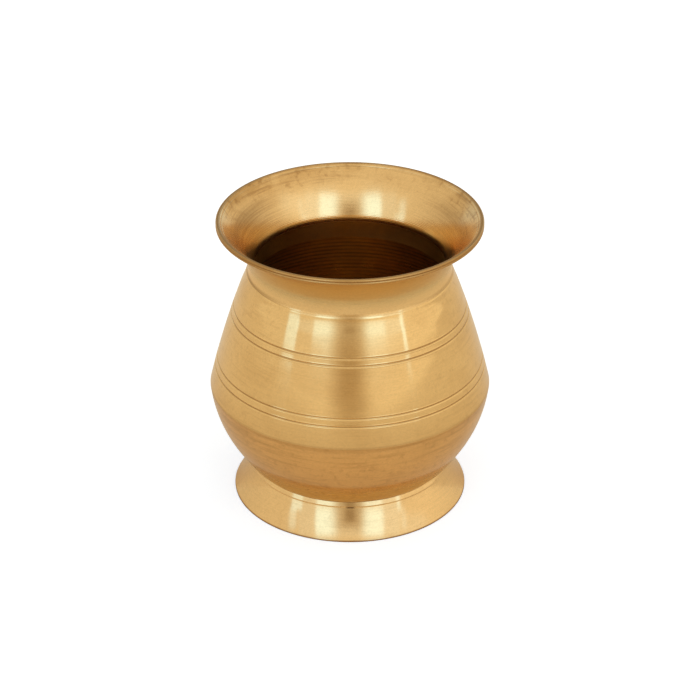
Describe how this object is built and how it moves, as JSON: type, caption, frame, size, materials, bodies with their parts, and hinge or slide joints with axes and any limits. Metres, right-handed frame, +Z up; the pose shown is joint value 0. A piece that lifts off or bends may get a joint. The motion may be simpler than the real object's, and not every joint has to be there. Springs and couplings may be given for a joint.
{
  "type": "brass kalash pot",
  "caption": "Turned brass kalash water pot with a wide flared mouth, beaded lip, coned shoulder with paired turned lines, rounded bowl and flared hollow foot.",
  "frame": {"origin": "centre of the circle the foot stands on, on the floor plane", "axes": "+Z up along the pot's axis of revolution; X and Y are any two level directions, because the pot is round"},
  "size_m": [0.1074, 0.1074, 0.1145],
  "materials": {
    "rim_collar": "satin-turned, finely brushed round the axis, light brown tarnish at the lip",
    "shoulder_shell": "satin-turned, finely brushed round the axis; coarse turning ridges inside",
    "bowl_shell": "satin-turned, browner and more tarnished than the shoulder",
    "foot_ring": "brighter polish, finely brushed round the axis",
    "filler": "as-flowed brazing alloy, dull"
  },
  "bodies": {
    "root": {"rim_collar": "rim_collar", "shoulder_shell": "shoulder_shell", "bowl_shell": "bowl_shell", "foot_ring": "foot_ring", "neck_braze": "filler", "belly_braze": "filler", "foot_braze": "filler"}
  },
  "joints": []
}
